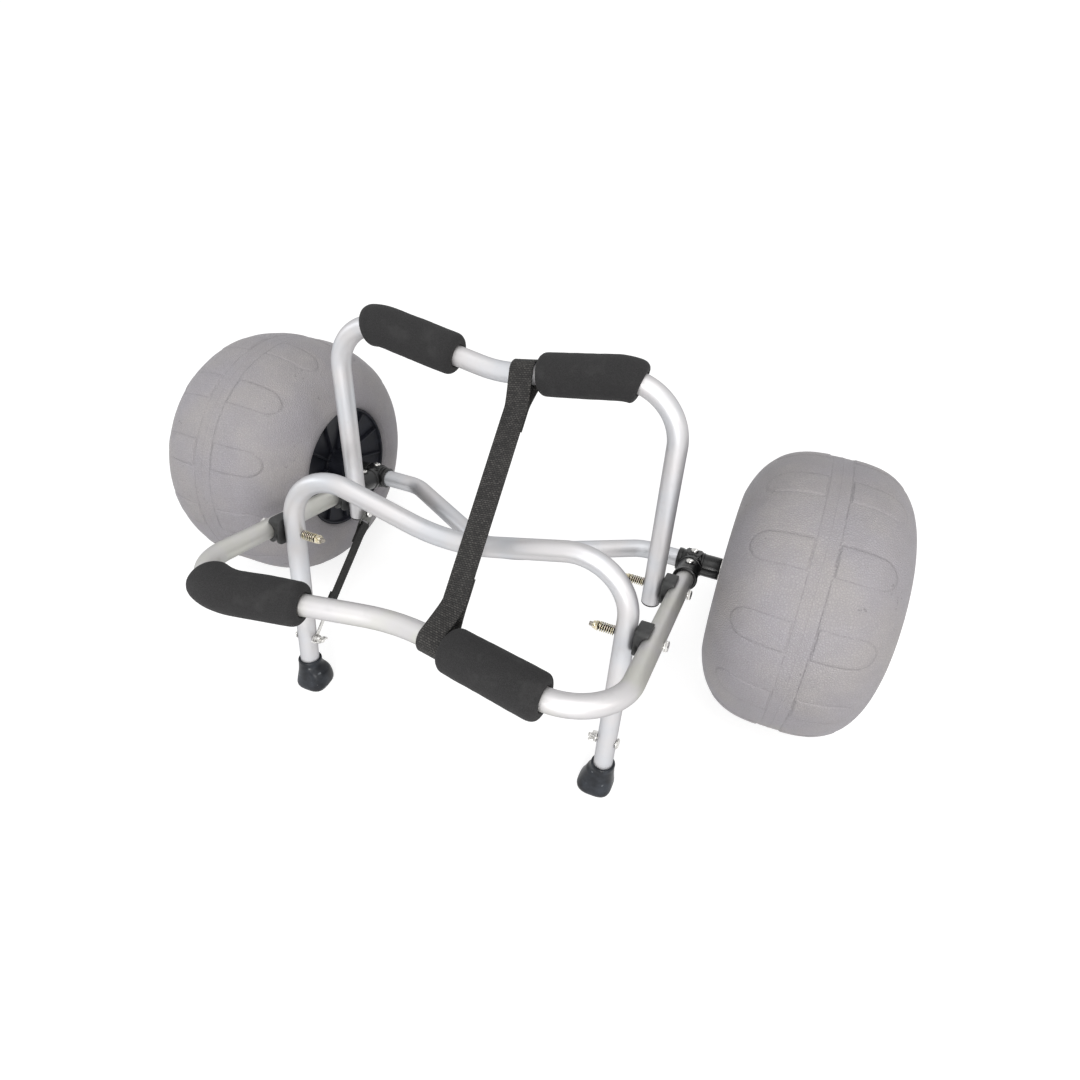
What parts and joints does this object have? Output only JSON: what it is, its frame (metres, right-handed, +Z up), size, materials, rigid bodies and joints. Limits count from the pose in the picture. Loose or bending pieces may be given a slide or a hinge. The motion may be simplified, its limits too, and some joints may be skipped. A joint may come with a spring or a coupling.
{
  "type": "kayak cart",
  "caption": "Folding two-wheel kayak cart: bent-tube base, cradle and stand frames, foam pads, balloon wheels on stub axles, webbing straps and rubber-footed legs.",
  "frame": {"origin": "on the floor, under the middle of the cart's bounding box at rest", "axes": "+X along the axle from the left wheel to the right one, -Y towards the raised front crossbar, +Z up"},
  "size_m": [0.8352, 0.4576, 0.4003],
  "materials": {
    "tube": "satin anodised",
    "black_plastic": "semi-gloss moulded",
    "hub_plastic": "moulded",
    "foam": "matt foam",
    "webbing": "woven",
    "boot_rubber": "matt",
    "balloon_tyre": "fine leathery grain",
    "steel": "plain",
    "yellow_zinc": "yellow zinc plated",
    "nylon": "smooth"
  },
  "bodies": {
    "base": {"axle_tube": "tube", "base_frame": "tube", "connector_left": "black_plastic", "connector_right": "black_plastic", "connector_screw_front_left": "steel", "connector_screw_front_right": "steel", "connector_screw_top_left": "steel", "connector_screw_top_right": "steel", "front_pad_left": "foam", "front_pad_right": "foam", "inner_washer_left": "steel", "inner_washer_right": "steel", "main_strap": "webbing", "outer_washer_left": "steel", "outer_washer_right": "steel", "rear_hinge_bolt_left": "steel", "rear_hinge_bolt_right": "steel", "rear_hinge_spacer_left": "black_plastic", "rear_hinge_spacer_right": "black_plastic", "rear_hinge_spring_left": "yellow_zinc", "rear_hinge_spring_right": "yellow_zinc", "rear_lock_nut_left": "yellow_zinc", "rear_lock_nut_right": "yellow_zinc", "retaining_pin_left": "steel", "retaining_pin_right": "steel", "stand_hinge_bolt_left": "steel", "stand_hinge_bolt_right": "steel", "stand_hinge_spacer_left": "black_plastic", "stand_hinge_spacer_right": "black_plastic", "stand_hinge_spring_left": "yellow_zinc", "stand_hinge_spring_right": "yellow_zinc", "stand_lock_nut_left": "yellow_zinc", "stand_lock_nut_right": "yellow_zinc", "stub_axle_left": "steel", "stub_axle_right": "steel"},
    "stand": {"boot_left": "boot_rubber", "boot_right": "boot_rubber", "foot_bolt_left": "steel", "foot_bolt_right": "steel", "stand_frame": "tube", "tether_lower_tab": "steel", "wing_nut_left": "steel", "wing_nut_right": "steel"},
    "wheel_left": {"bushing_left": "nylon", "hub_inner_left": "hub_plastic", "hub_outer_left": "hub_plastic", "tyre_left": "balloon_tyre"},
    "wheel_right": {"bushing_right": "nylon", "hub_inner_right": "hub_plastic", "hub_outer_right": "hub_plastic", "tyre_right": "balloon_tyre"},
    "cradle": {"rear_end_cap_left": "black_plastic", "rear_end_cap_right": "black_plastic", "rear_frame": "tube", "rear_pad_left": "foam", "rear_pad_right": "foam", "tether_rivet": "steel", "tether_strap": "webbing", "tether_upper_tab": "steel"}
  },
  "joints": [
    {"name": "cradle_fold", "type": "hinge", "parent": "base", "child": "cradle", "pos_m": [0, 0.00533, 0.1692], "axis": [1, 0, 0], "range_deg": [0, 66], "deforming": ["main_strap", "tether_strap"]},
    {"name": "stand_fold", "type": "hinge", "parent": "base", "child": "stand", "pos_m": [0, -0.09384, 0.19512], "axis": [1, 0, 0], "range_deg": [0, 66], "deforming": ["tether_strap"]},
    {"name": "wheel_spin_left", "type": "hinge", "parent": "base", "child": "wheel_left", "pos_m": [-0.3305, 0.07876, 0.15], "axis": [1, 0, 0], "continuous": true},
    {"name": "wheel_spin_right", "type": "hinge", "parent": "base", "child": "wheel_right", "pos_m": [0.3305, 0.07876, 0.15], "axis": [1, 0, 0], "continuous": true}
  ],
  "couplings": [
    {"joint": "stand_fold", "follows": "cradle_fold", "ratio": 1}
  ]
}
